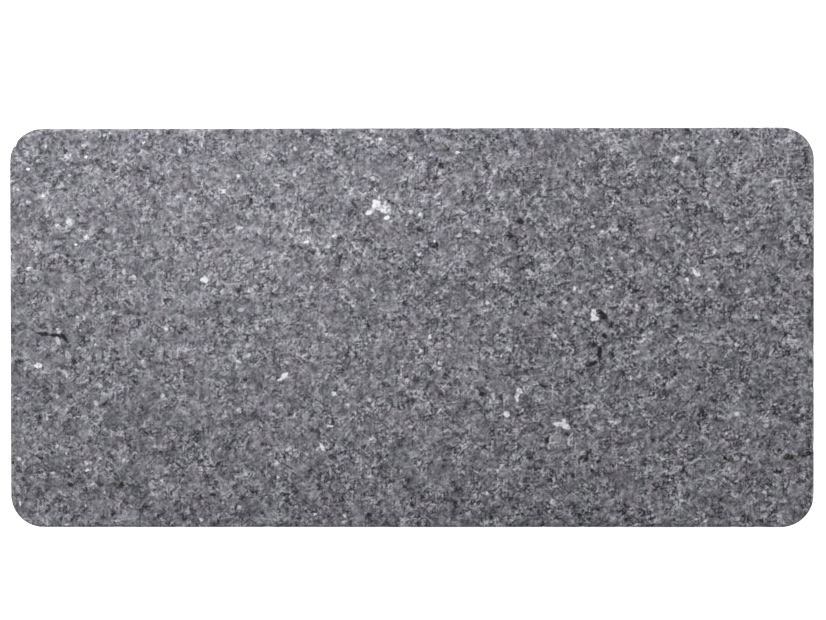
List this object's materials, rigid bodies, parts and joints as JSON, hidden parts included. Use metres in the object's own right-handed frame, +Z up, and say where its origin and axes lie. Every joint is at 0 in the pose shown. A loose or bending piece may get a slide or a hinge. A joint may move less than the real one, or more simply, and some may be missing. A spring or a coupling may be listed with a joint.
{
  "type": "massage stone",
  "caption": "Flat rectangular slab of speckled grey stone with rounded corners and eased edges, warmed or cooled and laid on the body.",
  "frame": {"origin": "middle of the underside, on the surface that the stone lies on", "axes": "+X along the stone's length, +Y across its width, +Z up through its thickness"},
  "size_m": [0.2, 0.0994, 0.02],
  "materials": {
    "basalt": "matte"
  },
  "bodies": {
    "root": {"basalt_slab": "basalt"}
  },
  "joints": []
}
